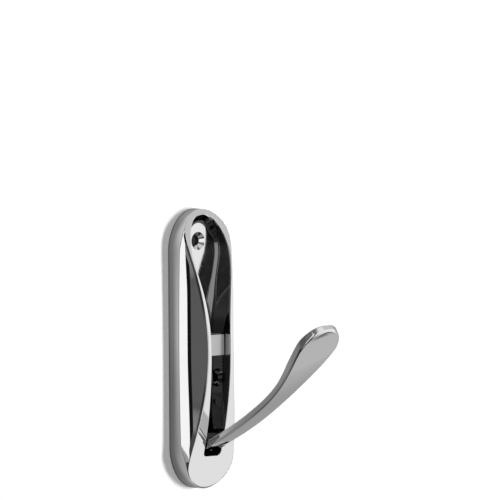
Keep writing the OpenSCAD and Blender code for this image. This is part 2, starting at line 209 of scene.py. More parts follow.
print("stem", 2 * STEM_HW, "mm wide, paddle", 2 * PADDLE_HW, "mm wide")

# %% [markdown]
# ## Rounded corners
# Every edge on a casting is a little round, and that round edge is what catches the light. A section
# is drawn with sharp corners first. Then each point is replaced by the mean of the section over a
# short length on both sides of it, which turns each corner into a smooth curve and leaves the
# straight stretches where they were. First come the places at which a section is worked out.

# %% Places along a section
NEAR_STEPS = 3  # places within the rounding at each end of a stretch
TINY = 1e-9  # stands in for a length of nothing in a division


def along(corners, reach, steps):
    """Places along each section, as lengths from its start, and the rounding's reach at each place.
    corners is (sections, corners, 3) and reach is (sections, corners). Each stretch between two
    corners gets steps places at equal distances, and NEAR_STEPS more at each end, within the
    rounding there or a third of the stretch, whichever is less."""
    parts = np.linalg.norm(np.diff(corners, axis=1), axis=2)
    start = np.concatenate([np.zeros((len(parts), 1)), np.cumsum(parts, axis=1)], axis=1)
    places, reaches = [], []
    for i, n in enumerate(steps):
        size = parts[:, i : i + 1]
        first, last = (np.minimum(reach[:, k : k + 1], size / 3) for k in (i, i + 1))
        low = first * np.linspace(0, 1, NEAR_STEPS + 1)[None, :]
        high = size - last * np.linspace(1, 0, NEAR_STEPS + 1)[None, :]
        mid = low[:, -1:] + (high[:, :1] - low[:, -1:]) * np.linspace(0, 1, n + 2)[None, 1:-1]
        run = np.concatenate([low, mid, high[:, :-1]], axis=1)
        share = run / np.maximum(size, TINY)
        places.append(start[:, i : i + 1] + run)
        reaches.append(reach[:, i : i + 1] * (1 - share) + reach[:, i + 1 : i + 2] * share)
    places.append(start[:, -1:])
    reaches.append(reach[:, -1:])
    return start, np.concatenate(places, axis=1), np.concatenate(reaches, axis=1)


# %% [markdown]
# The mean over a length is the difference of two running sums, divided by that length. So no point
# looks at its neighbours, and all sections are rounded at once. A square corner shows how much the
# rounding cuts off.


# %% The section with its corners rounded
def running_sum(corners, start, s):
    """Integral of the section's points from its start to each length s. A stretch adds its first point
    times the length covered, plus its direction times half that length squared."""
    total = np.zeros(s.shape + (3,))
    for i in range(corners.shape[1] - 1):
        a, b = corners[:, i, None], corners[:, i + 1, None]
        size = (start[:, i + 1] - start[:, i])[:, None]
        run = np.clip(s - start[:, i : i + 1], 0, size)
        way = (b - a) / np.maximum(size, TINY)[..., None]
        total += a * run[..., None] + way * (run[..., None] ** 2) / 2
    return total


def rounded(corners, reach, steps):
    """Points along each section with its corners rounded: the mean of the section from reach before
    each place to reach after it, less near the two ends so that these stay where they are."""
    reach = np.broadcast_to(np.asarray(reach, dtype=float), corners.shape[:2])
    start, s, wide = along(corners, reach, steps)
    half = np.minimum(np.minimum(s, start[:, -1:] - s), wide)
    flat = half < 1e-6
    half = np.maximum(half, 1e-4)
    total = running_sum(corners, start, s + half) - running_sum(corners, start, s - half)
    edge = np.where((s < start[:, -1:] / 2)[..., None], corners[:, :1], corners[:, -1:])
    return np.where(flat[..., None], edge, total / (2 * half)[..., None])


square = np.array([[(0, 0, 0), (4, 0, 0), (4, 4, 0)]], dtype=float)
cut = np.linalg.norm(rounded(square, 1.0, (9, 9)) - square[:, 1:2], axis=2).min()
print("a square corner rounded by 1 mm is cut by", round(float(cut), 2), "mm")

# %% [markdown]
# A grid of points becomes a mesh, one face to a cell. The hook is the same on both sides of its
# middle, so only the right half of a ring is worked out and the left half is its mirror image.

# %% From points to a mesh
SAME_POINT = 2e-6  # metres; points closer together than this become one


def cells(m, n, wrap_rows, wrap_cols):
    """Corner numbers of the faces between m rows and n columns of points, all as one array. Point j
    of row i is number i n + j, and a face joins it with the next column's and the next row's."""
    rows = np.arange(m if wrap_rows else m - 1)
    i, j = np.meshgrid(rows, np.arange(n if wrap_cols else n - 1), indexing="ij")
    i2, j2 = (i + 1) % m, (j + 1) % n
    return np.stack([i * n + j, i * n + j2, i2 * n + j2, i2 * n + j], axis=-1).reshape(-1, 4)


def new_piece(name, rows, faces):
    """A mesh object from points (x, d, z) in millimetres and faces, linked to the scene."""
    points = np.stack([rows[..., 0], -rows[..., 1], rows[..., 2]], axis=-1).reshape(-1, 3) * MM
    mesh = bpy.data.meshes.new(name)
    mesh.from_pydata(points.tolist(), [], faces.tolist())
    piece = bpy.data.objects.new(name, mesh)
    bpy.context.scene.collection.objects.link(piece)
    return piece


# %% A grid as a smooth piece
def surface(name, rows, wrap_rows=False, wrap_cols=False, crease=38):
    """A smooth mesh object from a grid of points (rows, columns, 3). The last row or column joins the
    first if it wraps, doubles are merged, and edges sharper than crease degrees stay sharp."""
    piece = new_piece(name, rows, cells(*rows.shape[:2], wrap_rows, wrap_cols))
    mesh = piece.data
    work = bmesh.new()
    work.from_mesh(mesh)
    bmesh.ops.remove_doubles(work, verts=work.verts, dist=SAME_POINT)
    bmesh.ops.dissolve_degenerate(work, edges=work.edges, dist=SAME_POINT / 2)
    bmesh.ops.recalc_face_normals(work, faces=work.faces)
    work.to_mesh(mesh)
    work.free()
    mesh.shade_smooth()
    mesh.set_sharp_from_angle(angle=math.radians(crease))
    print(name, "has", len(mesh.polygons), "faces")
    return piece


def mirrored_ring(half):
    """A closed ring of sections from those of its right half, which runs from the bottom middle to
    the top middle: the left half is the same with x turned round, in reverse order."""
    left = half[-2:0:-1] * np.array([-1, 1, 1])
    return np.concatenate([half, left])


# %% [markdown]
# ## The housing
# The real housing is one zinc casting with a window for the arm. It could be cut from a block like
# the solid, but cuts leave edges where the polished one flows. So it is made as a ring: round the
# outside runs its outline at the wall, round the inside runs the recess, and one section is carried
# round between them, which gives one closed surface with no poles in sight.

# %% The two outlines of the ring
END_STEPS, SIDE_STEPS, BEND_STEPS = 72, 121, 9
CORNER_R = 1.8  # round corners at the recess's lower end


def outline_places(end_steps, side_steps):
    """Half widths and heights round the right half of the housing at the wall. The ends go by the
    angle of their ellipse and the straight side goes by equal steps of height."""
    turn = np.append(np.linspace(0, math.pi / 2, end_steps, endpoint=False), math.pi / 2)
    top_x, top_z = BODY_W / 2 * np.cos(turn), STRAIGHT_Z + END_H * np.sin(turn)
    side_z = np.linspace(-STRAIGHT_Z, STRAIGHT_Z, side_steps)[1:-1]
    side_x = np.full(side_z.size, BODY_W / 2)
    return np.concatenate([top_x[::-1], side_x, top_x]), np.concatenate([-top_z[::-1], side_z, top_z])


def recess_low_end(share):
    """Point on the lower end of the recess by the share of the way from its side to the middle: down
    the side, round a corner of radius CORNER_R and along the straight floor."""
    side, foot = float(recess_hw(-STRAIGHT_Z)), float(recess_hw(RECESS_BOTTOM))
    bend = np.linspace(0, math.pi / 2, BEND_STEPS)
    way_x = np.concatenate([[side], foot - CORNER_R * (1 - np.cos(bend)), [0]])
    way_z = np.concatenate([[-STRAIGHT_Z], RECESS_BOTTOM + CORNER_R * (1 - np.sin(bend)), [RECESS_BOTTOM]])
    length = np.concatenate([[0], np.cumsum(np.hypot(np.diff(way_x), np.diff(way_z)))])
    return np.interp(share * length[-1], length, way_x), np.interp(share * length[-1], length, way_z)


def recess_places(x, z):
    """Point of the recess outline that belongs to each outline place: the same height along the
    sides, the ellipse's own angle round the top, and its share of the way round the lower end."""
    turn = np.arccos(np.clip(x / (BODY_W / 2), 0, 1))
    side_z = np.interp(z, [-STRAIGHT_Z, STRAIGHT_Z], [-STRAIGHT_Z, PADDLE_Z])
    top_x, top_z = recess_hw(PADDLE_Z) * np.cos(turn), PADDLE_Z + (RECESS_TOP - PADDLE_Z) * np.sin(turn)
    low_x, low_z = recess_low_end(turn / (math.pi / 2))
    at_top, at_foot = z > STRAIGHT_Z, z < -STRAIGHT_Z
    return (np.where(at_foot, low_x, np.where(at_top, top_x, recess_hw(side_z))),
            np.where(at_foot, low_z, np.where(at_top, top_z, side_z)))


print(2 * len(outline_places(END_STEPS, SIDE_STEPS)[0]) - 2, "sections round the housing")

# %% [markdown]
# The scooped flank is what makes this hook: a hollow that opens between the rim and the outer wall
# and closes to nothing at both tips. A narrow strip along the bottom of the hollow gets painted shade,
# and a facet of its own.

# %% The valley of the flank
STRAY_LOW, STRAY_HIGH = 0.6, 0.5  # how far the valley strays off its arc towards its two ends
LOW_SPAN, HIGH_SPAN = (0, -45), (25, 49)  # heights over which it does
CLOSE_Z, CLOSED_Z = -46, -52.5  # heights between which its lower tip closes
LEAST_SIDE = 0.5  # least distance of the valley from the outer wall
STRIP = 1.45  # width of the strip with painted shade
STRIP_SPAN = 2.5, 4.5  # widths of the flank over which the strip comes in
STRIP_LEAN = math.radians(56)


def valley_point(z):
    """Valley of the flank as (x, d). Between its tips it runs VALLEY_D off the wall, rising and moving
    out by the square of the height over VALLEY_TIP's. Low down it also strays up and inwards, and
    high up down and outwards. Past its tips it is the rim itself."""
    u = (z / VALLEY_TIP) ** 2
    stray = STRAY_LOW * fade(z, *LOW_SPAN) - STRAY_HIGH * fade(z, *HIGH_SPAN)
    x = VALLEY_X + VALLEY_OUT * u - stray
    upper_end = arch(z) - end_hw(POCKET_D, POCKET_H, z - POCKET_Z)
    d = np.minimum(VALLEY_D + VALLEY_RISE * u + stray, upper_end)
    d = blend(d, arch(z), fade(z, CLOSE_Z, CLOSED_Z))
    scooped = (z > CLOSED_Z) & (z < POCKET_Z + POCKET_H) & (arch(z) > d)
    x = np.maximum(np.minimum(x, base_hw(z) - LEAST_SIDE), rim_hw(z))
    return np.where(scooped, x, rim_hw(z)), np.where(scooped, d, arch(z))


def strip_width(flank):
    """Width of the strip with painted shade by the flank's own width: STRIP, and none on a narrow flank."""
    return STRIP * fade(flank, *STRIP_SPAN)


middle_x, middle_d = valley_point(0)
middle_flank = float(np.hypot(rim_hw(0) - middle_x, arch(0) - middle_d))
print("the flank is", round(middle_flank, 2), "mm wide half way up, and", STRIP, "mm of it are dull")

# %% [markdown]
# A section across the ring climbs the side wall, leans in over the facet to the valley, climbs the
# hollow flank to the sharp rim and crosses the arched front to the window. Only its corners are
# given here. Carrying a row of points along each place where the painted shade changes keeps that
# change crisp, because the painted shade is stored at points.

# %% The section's corners outside
FOOT_ROUND, SHOULDER_ROUND, VALLEY_ROUND, RIM_ROUND, WINDOW_ROUND = 0.2, 0.25, 0.12, 0.5, 0.45
WORN_ROUND, WORN_SPAN = 1.0, (50, 57)  # how much softer the rim is round the top, and from where
SHARP = 0.02  # rounding at corners that only carry a row of points
PAST_STRIP, BELOW_RIM, NEAR_RIM = 0.4, 1.5, 1.0  # where the painted shade starts and ends


def flank_corners(x, z):
    """Corners up the side wall, over the shoulder to the valley, up its strip and on below the rim.
    The last three lie PAST_STRIP past the strip, and BELOW_RIM and NEAR_RIM below the rim, or at
    fixed shares of the way where the flank is too narrow for that."""
    none = 0 * z
    vx, vd = valley_point(z)
    rx, rd = rim_hw(z), arch(z)
    strip = strip_width(np.hypot(rx - vx, rd - vd))
    sx, sd = vx - strip * math.cos(STRIP_LEAN), vd + strip * math.sin(STRIP_LEAN)
    shoulder = vd - np.maximum(x - vx, 0) * FLANK_SLOPE
    corners = [(x, none, z), (x, shoulder, z), (vx, vd, z), (sx, sd, z)]
    reach = [none + FOOT_ROUND, none + SHOULDER_ROUND, none + VALLEY_ROUND, 0.25 * strip + SHARP]
    rest = np.maximum(np.hypot(rx - sx, rd - sd), 1e-6)
    shares = (np.minimum(PAST_STRIP / rest, 0.25), 1 - np.minimum(BELOW_RIM / rest, 0.6),
              1 - np.minimum(NEAR_RIM / rest, 0.4))
    for share in shares:
        corners.append((blend(sx, rx, share), blend(sd, rd, share), z))
        reach.append(none + SHARP)
    return corners, reach


def front_corners(z, wx, wz):
    """Corners from the rim over the arched front to the window's edge at (wx, wz). The front is
    softer round the top, where the real one is worn round by the wheel."""
    soft = RIM_ROUND + WORN_ROUND * fade(z, *WORN_SPAN)
    corners, reach = [(rim_hw(z), arch(z), z)], [0 * z + RIM_ROUND]
    for t in (0.25, 0.5, 0.75, 1):
        fz = blend(z, wz, t)
        corners.append((blend(rim_hw(z), wx, t), arch(fz), fz))
        reach.append(blend(soft, WINDOW_ROUND, t))
    return corners, reach


# %% [markdown]
# Inside, the section goes down the wall of the recess. At its foot is a cove, as castings have in
# inner corners. It mirrors a bright screen on the left of the room and is the long light streak in
# the recess, so its size and pitch follow that streak. Behind, the section goes back along the
# plate, out of sight.

# %% The section's corners inside
SEAM = 0.03  # how far the recess's foot stands off the back plate
COVE, WAIST_COVE, CROWN_COVE = 1.25, 1.3, 1.9  # the cove's width, and what it grows by
COVE_SPAN, CROWN_SPAN = (-34, -22), (50, 59)  # heights over which it starts, and grows at the crown
WAIST_TOP, WAIST_FOOT = (36, 22), (-28, -16)  # heights over which it grows to the waist
PITCH, PITCH_SPAN = 1.11, (36, 26)  # height over width, and where that falls to 1


def cove_corners(z, wx, wz):
    """Corners at the foot of the recess: where the cove starts on its wall, where it ends on the back
    plate and one just past that. It starts at its width times the pitch above the plate and runs in
    over the plate by its width, and round the crown its end is soft."""
    crown, waist = fade(z, *CROWN_SPAN), fade(z, *WAIST_TOP) * fade(z, *WAIST_FOOT)
    size = COVE * fade(z, *COVE_SPAN) + WAIST_COVE * waist + CROWN_COVE * crown
    pitch = blend(PITCH, 1, fade(z, *PITCH_SPAN))
    floor = 0 * z + PLATE_T + SEAM
    corners, reach = [(wx, floor + pitch * size, wz)], [0.3 * size + 0.05]
    inward = np.stack([-wx, (PADDLE_Z - wz) * (z > PADDLE_Z)], axis=-1)
    inward = inward / np.maximum(np.linalg.norm(inward, axis=-1, keepdims=True), 1e-6)
    for run, soft in ((size, SHARP + 0.8 * crown), (size + 0.05 + 1.2 * crown, 0 * z + SHARP)):
        corners.append((wx + inward[:, 0] * run, floor, wz + inward[:, 1] * run))
        reach.append(soft)
    return corners, reach


def back_corners(x, z, wx, wz):
    """Corners behind: in along the back plate's front to its seat in the shell, and back to the wall."""
    none, seat = 0 * z, 1 - 2 * SHELL_T / BODY_W
    end_z = STRAIGHT_Z + (abs(z) - STRAIGHT_Z) * (1 - SHELL_T / END_H)
    seat_z = np.sign(z) * np.where(abs(z) > STRAIGHT_Z, end_z, abs(z))
    return [(wx, PLATE_T + none, wz), (x * seat, PLATE_T + none, seat_z), (x * seat, none, seat_z)]


print("cove", COVE, "mm wide, at the waist", COVE + WAIST_COVE, "and at the crown", COVE + CROWN_COVE)

# %% The housing's skin
# Points on each stretch of the section; the long one goes down the wall of the recess
SECTION_STEPS = (9, 8, 3, 2, 4, 2, 2, 3, 3, 3, 3, 20, 5, 3)


def as_grid(corners):
    """Sections by corners by 3 from a list of corners, each given as (x, d, z) over all sections."""
    return np.stack([np.stack(corner, axis=-1) for corner in corners], axis=1)


side_x, side_z = outline_places(END_STEPS, SIDE_STEPS)
window_x, window_z = recess_places(side_x, side_z)
flank, flank_reach = flank_corners(side_x, side_z)
front, front_reach = front_corners(side_z, window_x, window_z)
cove, cove_reach = cove_corners(side_z, window_x, window_z)
reach = np.stack(flank_reach + front_reach + cove_reach, axis=1)
skin = rounded(as_grid(flank + front + cove), reach, SECTION_STEPS)
closed = np.concatenate([skin, as_grid(back_corners(side_x, side_z, window_x, window_z))], axis=1)
housing = surface("housing_skin", mirrored_ring(closed), wrap_rows=True, wrap_cols=True)
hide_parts("housing_shell")
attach(housing, "housing")

# %% [markdown]
# ## The arm
# The arm is cast flat-faced, widens to a paddle and is bent to the same arch as the front of the
# housing. It is drawn folded away and then turned about its pin to where it stands in the picture.
# Its sections fan out from a line down the middle, so the round tip is as smooth as the sides.

# %% The arm's blade
FAN_STEPS = 9  # sections across the blade's lower end
FACE_CROWN = 0.3  # how far the face drops from its middle line to its edge
BLADE_ROUND = np.array([0.7, 0.7, 0.7, 0.7, 1.5, 0.6, 0.6, 0.6])  # the fifth corner is the front edge
BLADE_STEPS = (4, 4, 4, 6, 6, 5, 5)


def swing_open(points):
    """Turns points (x, d, z) about the pin by the opening angle, so that the tip moves out and down:
    z becomes z cos - d sin and d becomes z sin + d cos, both measured from the pin."""
    z, d = points[..., 2] - PIVOT_Z, points[..., 1] - PIVOT_D
    turned_z = z * math.cos(LEAN) - d * math.sin(LEAN)
    turned_d = z * math.sin(LEAN) + d * math.cos(LEAN)
    return np.stack([points[..., 0], PIVOT_D + turned_d, PIVOT_Z + turned_z], axis=-1)


def blade_edge(side_steps, tip_steps):
    """Points (x, z) on the edge of the folded blade from the middle of its lower end to its tip, and
    the height on the middle line that each section fans out from."""
    foot_z = PIVOT_Z + HUB_R / 2
    side_z = np.linspace(foot_z, PADDLE_Z, side_steps)[1:]
    tip_z = PADDLE_Z + PADDLE_TIP * np.sin(np.linspace(0, math.pi / 2, tip_steps + 1)[1:])
    foot_x = float(arm_hw(foot_z)) * np.linspace(0, 1, FAN_STEPS)
    edge_x = np.concatenate([foot_x, arm_hw(side_z), arm_hw(tip_z)])
    edge_z = np.concatenate([np.full(FAN_STEPS, foot_z), side_z, tip_z])
    core_z = np.concatenate([np.full(FAN_STEPS, foot_z + 1), side_z, np.full(tip_z.size, PADDLE_Z)])
    return edge_x, edge_z, core_z


# %% The blade's skin
def blade_sections(side_steps, tip_steps):
    """Corner points of the arm's sections. Each runs from the middle line of the outer face to the
    edge, through the thickness and back to the middle line behind. The outer face is crowned: it
    drops by FACE_CROWN times the square of its distance from the middle line over the half width."""
    edge_x, edge_z, core_z = blade_edge(side_steps, tip_steps)
    rows = []
    for t in (0, 0.25, 0.5, 0.75, 1):
        z = blend(core_z, edge_z, t)
        rows.append(np.stack([edge_x * t, arm_face(z) - FACE_CROWN * t * t, z], axis=-1))
    for t in (1, 0.5, 0):
        z = blend(core_z, edge_z, t)
        rows.append(np.stack([edge_x * t, arm_face(z) - arm_t(z), z], axis=-1))
    return np.stack(rows, axis=1)


blade = rounded(blade_sections(side_steps=100, tip_steps=44), BLADE_ROUND, BLADE_STEPS)
arm = surface("arm_blade", swing_open(mirrored_ring(blade)), wrap_rows=True, crease=60)
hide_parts("hook_arm")
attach(arm, "arm")

# %% [markdown]
# The heel is the block that turns on the pin. Seen from the side it is a round hub with a tail whose
# end meets the back plate when the arm is open. It is drawn as one outline round the pin, by angle,
# and carried across the arm's width, with its edges eased by a bevel.

# %% The heel's corners: the tail that meets the back plate, and the stem above the hub
TAIL_NOSE = 0.6  # cut corner at the tail's tip


def heel_corners():
    """Corners (z, d) of the tail's polygon from the pin: its tip, the stop face, its root, the
    stem's back and face above the hub, and the face down to the heel's end."""
    c, s = math.cos(LEAN), math.sin(LEAN)
    lift, end_z = HUB_R * 1.1, TAIL_Z + 3 * TAIL_NOSE
    tail = np.array([TAIL_Z, TAIL_D])
    stop = tail + STOP_L * np.array([c, -s])
    root = stop + (STOP_REACH - HUB_R / 2) * np.array([s, c])
    lift_d, hub_d, end_d = (float(arm_face(PIVOT_Z + z)) - PIVOT_D for z in (lift, 0, end_z))
    return np.array([tail + TAIL_NOSE * np.array([c, -s]), stop, root, [0, 0], [lift, lift_d - STEM_T],
                     [lift, lift_d], [0, hub_d], [end_z, end_d], [TAIL_Z + TAIL_NOSE, TAIL_D + HEEL_END]])


# %% The heel's skin, with the hub round the pin
HEEL_STEPS = 240
HEEL_ROUND = 0.45


def heel_outline(corners, count):
    """Side view of the heel round the pin: along each ray the larger of the hub's radius and the
    distance at which the ray meets a side of the polygon."""
    angle = np.linspace(0, 2 * math.pi, count, endpoint=False)
    ray = np.stack([np.cos(angle), np.sin(angle)], axis=-1)[:, None]
    a, b = corners[None], np.roll(corners, -1, axis=0)[None]
    way = b - a
    cross = ray[..., 0] * way[..., 1] - ray[..., 1] * way[..., 0]
    cross = np.where(abs(cross) < 1e-9, 1e-9, cross)
    reach = (a[..., 0] * way[..., 1] - a[..., 1] * way[..., 0]) / cross
    share = (a[..., 0] * ray[..., 1] - a[..., 1] * ray[..., 0]) / cross
    hit = np.where((share >= 0) & (share <= 1) & (reach > 0), reach, 0).max(axis=1)
    r = np.maximum(hit, HUB_R)
    return r * np.cos(angle), r * np.sin(angle)


z_side, d_side = heel_outline(heel_corners(), HEEL_STEPS)
# Each flat side runs from the pin out to the outline, with a row of points on the way
across = np.array([-1, -1, -1, 1, 1, 1])[:, None] * HEEL_HW + 0 * z_side
inner = np.array([0, 0.8, 1, 1, 0.8, 0])[:, None]
heel_rows = np.stack([across, inner * d_side + PIVOT_D, inner * z_side + PIVOT_Z], axis=-1)
heel = surface("arm_heel", swing_open(heel_rows), wrap_cols=True)
soften = heel.modifiers.new("rounded edges", "BEVEL")
soften.width, soften.segments = HEEL_ROUND * MM, 3
soften.limit_method, soften.angle_limit = "ANGLE", math.radians(40)
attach(heel, "arm")

# %% [markdown]
# ## The bridge
# A strip of satin chrome bent to a U crosses the channel, and the folded arm rests on it. Pressed
# strip has round bends. A modifier could bend a flat strip, but the finished size is what is known,
# so its section is drawn as a U with rounded corners and carried up by the strip's height.

# %% The rest bridge
BRIDGE_SIDE_GAP = 0.02
OUTER_BEND, INNER_BEND = 1.0, 0.5
BRIDGE_STEPS = (6, 6, 6, 6)
BRIDGE_EDGE = 0.25  # rows of points this far from both edges keep them crisp
bridge_hw = STEM_HW + ARM_GAP - BRIDGE_SIDE_GAP
bridge_face = float(arm_face(BRIDGE_Z + BRIDGE_H)) - STEM_T - REST_GAP


def bridge_section(z):
    """The strip's closed section at height z: over its outer side from left to right and back along
    its inner side, with its bends rounded."""
    w, t, f = bridge_hw, BRIDGE_T, bridge_face
    outer = [(-w, PLATE_T), (-w, f), (0, f), (w, f), (w, PLATE_T)]
    inner = [(w - t, PLATE_T), (w - t, f - t), (0, f - t), (-w + t, f - t), (-w + t, PLATE_T)]
    sides = []
    for points, bend in ((outer, OUTER_BEND), (inner, INNER_BEND)):
        sides.append(rounded(np.array([[(x, d, z) for x, d in points]]), bend, BRIDGE_STEPS)[0])
    return np.concatenate(sides)


def cap_ends(piece):
    """Closes each open end of a tube with one face."""
    work = bmesh.new()
    work.from_mesh(piece.data)
    bmesh.ops.holes_fill(work, edges=[e for e in work.edges if e.is_boundary], sides=0)
    bmesh.ops.recalc_face_normals(work, faces=work.faces)
    work.to_mesh(piece.data)
    work.free()


bridge_top = BRIDGE_Z + BRIDGE_H
bridge_heights = (BRIDGE_Z, BRIDGE_Z + BRIDGE_EDGE, bridge_top - BRIDGE_EDGE, bridge_top)
bridge = surface("bridge_strip", np.stack([bridge_section(z) for z in bridge_heights]), wrap_cols=True)
cap_ends(bridge)
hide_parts("rest_bridge")
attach(bridge, "housing")

# %% [markdown]
# ## Finishes
# Chrome is a mirror with a faint grey tint. What tells it from a perfect mirror is the metal under
# it: a casting is never quite flat, so reflections wander a little, and cloths leave hairlines.
# Colours are written as in a paint program, and one function turns them to the shader's own scale.


# %% Colours and nodes
def linear(code):
    """Linear colour from an sRGB hex code: c/12.92 up to 0.04045, then ((c + 0.055)/1.055)^2.4."""
    s = np.array([int(code[i : i + 2], 16) / 255 for i in (1, 3, 5)])
    c = np.where(s <= 0.04045, s / 12.92, ((s + 0.055) / 1.055) ** 2.4)
    return (*c.tolist(), 1.0)


def add(tree, kind, links=None, **settings):
    """Adds a node. settings are its properties, or sockets by index when written as in0, in1...;
    links maps a socket name or index to the output that feeds it."""
    node = tree.nodes.new(kind)
    for key, value in settings.items():
        if key.startswith("in") and key[2:].isdigit():
            node.inputs[int(key[2:])].default_value = value
        else:
            setattr(node, key, value)
    for socket, source in (links or {}).items():
        tree.links.new(source, node.inputs[socket])
    return node


WHITE = (1, 1, 1, 1)
print("half grey, #808080, is", round(linear("#808080")[0], 3), "to the shader")

# %% [markdown]
# A metal is decided by its tint, how sharp its reflections are and how flat it is, and the
# Principled shader has all three. Real waves of a hundredth of a millimetre would ask for a far
# finer mesh, so they are a bump. The hairlines are too fine for this picture, so they are drawn as
# patches of a few millimetres in which the reflections are a little less sharp.


# %% What a metal is made of
def empty_material(name):
    """A material with no nodes yet, and its tree."""
    material = bpy.data.materials.new(name)
    material.use_nodes = True
    material.node_tree.nodes.clear()
    return material, material.node_tree


def metal(name, colour, roughness, spread, grain_mm, wander_mm, wander, shade_colour=None):
    """A metal: Principled with its colour and metallic set on the shader, roughness that varies by
    spread over patches of grain_mm, and a surface that wanders by a height in millimetres over
    wander_mm. With a second colour given, painted shade takes the colour towards it by the share
    stored in an attribute on the piece."""
    material, tree = empty_material(name)
    spot = add(tree, "ShaderNodeTexCoord").outputs["Object"]
    patches = add(tree, "ShaderNodeTexNoise", {"Vector": spot}, in2=1 / (grain_mm * MM), in3=3.0)
    # Nearly all of the noise lies between 0.3 and 0.7
    rough = add(tree, "ShaderNodeMapRange", {"Value": patches.outputs["Fac"]},
                in1=0.3, in2=0.7, in3=roughness, in4=roughness + spread)
    waves = add(tree, "ShaderNodeTexNoise", {"Vector": spot}, in2=1 / (wander_mm * MM), in3=1.0)
    bump = add(tree, "ShaderNodeBump", {"Height": waves.outputs["Fac"]}, in0=1.0, in1=wander * MM)
    shader = add(tree, "ShaderNodeBsdfPrincipled",
                 {"Roughness": rough.outputs["Result"], "Normal": bump.outputs["Normal"]})
    # Painted shade: the colour runs to the dark one by the share stored on the piece
    if shade_colour:
        depth = add(tree, "ShaderNodeAttribute", attribute_name="depth").outputs["Fac"]
        tint = add(tree, "ShaderNodeMix", {0: depth}, data_type="RGBA")
        tint.inputs[6].default_value, tint.inputs[7].default_value = linear(colour), linear(shade_colour)
        tree.links.new(tint.outputs[2], shader.inputs["Base Color"])
    shader.inputs["Base Color"].default_value = linear(colour)
    shader.inputs["Metallic"].default_value = 1.0
    add(tree, "ShaderNodeOutputMaterial", {"Surface": shader.outputs["BSDF"]})
    return material


# %% [markdown]
# Each finish is named for how the real piece is made. The numbers after its colour are its
# roughness and how much that varies, the size of its patches, and the length and height of the
# waves under its plating.

# %% The metals
# Bright chrome on a buffed casting: sharp reflections that wander a little, painted shade in the hollows
polished_chrome = metal("polished_chrome", "#E6E6E6", 0.03, 0.05, 3, 14, 0.012, shade_colour="#3C3C3C")
# The same plating on the small heel, which is hard to buff: shorter waves, and painted shade on the hub
heel_chrome = metal("cast_and_plated_heel", "#E6E6E6", 0.05, 0.08, 2, 6, 0.012, shade_colour="#343434")
# Chrome on rolled plate: the bright floor of the recess, with the roll's slow waves in it
plate_chrome = metal("plate_chrome", "#E4E4E4", 0.06, 0.06, 2, 9, 0.03)
# Satin chrome on pressed strip: a soft, even grey bar across the dark channel
satin_chrome = metal("satin_chrome", "#BEBEBE", 0.28, 0.08, 1, 6, 0.01)
# Ground steel of the pin and the leaf spring: a dim sheen with a fine grain
ground_steel = metal("ground_steel", "#BBBBBC", 0.25, 0.10, 0.6, 4, 0.01)
# Nickel over brass on the washers: slightly warm against the chrome
plated_brass = metal("nickel_plated_brass", "#A8A49A", 0.30, 0.12, 0.8, 4, 0.01)
# Bright zinc on screws and rivet: pale and a little cold
zinc_plate = metal("zinc_plate", "#C5C6C8", 0.30, 0.10, 0.7, 3, 0.01)

NODE_FINISH = {"back_plate": plate_chrome, "pivot_pin": ground_steel, "friction_washers": plated_brass,
               "detent_spring": ground_steel, "spring_rivet": zinc_plate, "plate_screws": zinc_plate}
for node, finish in NODE_FINISH.items():
    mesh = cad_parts[node].data
    mesh.materials.clear()
    mesh.materials.append(finish)
PIECE_FINISH = ((housing, polished_chrome), (arm, polished_chrome), (heel, heel_chrome),
                (bridge, satin_chrome))
for piece, finish in PIECE_FINISH:
    piece.data.materials.append(finish)
print(len(NODE_FINISH) + len(PIECE_FINISH), "pieces have their metal")

# %% [markdown]
# ## Painted shade in the hollows
# Shade is painted into the chrome's colour wherever the real hook is nearly black: inside the recess,
# along the bottom of the flank's valley and in its narrow ends. Each point gets its share of that
# painted shade by where it lies, and the metal's colour follows it. A painted picture could do the
# same, but it would have to be unwrapped over the sharp rim.

# %% Painted shade on the flank
UPPER_END, LOWER_END = (48, 50.5), (-34, -40)  # heights over which the flank's narrow ends take on painted shade
LOWER_SHADE, RIM_SHADE, FOOT_SHADE = 0.9, 0.75, 0.7  # how much painted shade: lower end, under the rim, facet's foot
RIM_SPAN = 10, 22  # heights above and below the middle over which the rim's underside takes on painted shade
SLANT_Z, SLANT_H = -44, 7  # the foot's upper edge: its height at the outer wall, its fall to the valley


def groove_share(x, d, z):
    """Share of painted shade on the flank: full along the strip in its valley, full over its upper end
    and nearly so over its lower end, partial just under the rim. The facet outside the valley has
    painted shade on its foot under a slanting line, and past the valley's lower tip. Small margins
    keep the points on a corner with the face they belong to."""
    vx, vd = valley_point(z)
    to_valley, to_rim = np.hypot(x - vx, d - vd), np.hypot(x - rim_hw(z), d - arch(z))
    strip = strip_width(np.hypot(rim_hw(z) - vx, arch(z) - vd))
    in_strip = fade(to_valley, strip + PAST_STRIP, strip) * (strip > 0.05)
    narrow = fade(z, *UPPER_END) + LOWER_SHADE * fade(z, *LOWER_END)
    under_rim = RIM_SHADE * fade(to_rim, BELOW_RIM, NEAR_RIM + 0.1) * fade(abs(z), *RIM_SPAN)
    on_flank = (x < vx + 0.05) & (x > rim_hw(z) - 0.1) & (d > vd - 0.05) & (d < arch(z) - 0.12)
    flank = on_flank * np.maximum(np.maximum(in_strip, narrow), under_rim)

    across = (x - vx) / np.maximum(base_hw(z) - vx, 0.1)
    on_facet = (across > 0.02) & (across < 0.95) & (abs(d - vd + (x - vx) * FLANK_SLOPE) < 0.15)
    slant = across - 1 - (z - SLANT_Z) / SLANT_H
    foot = FOOT_SHADE * fade(slant, -0.15, 0.15) * fade(z, -60, -54) * (z < SLANT_Z + 4)
    past_tip = fade(z, -50.5, -52) * fade(z, -66, -54) * fade(across, 0.7, 0.4)
    return np.maximum(flank, on_facet * np.maximum(foot, past_tip))
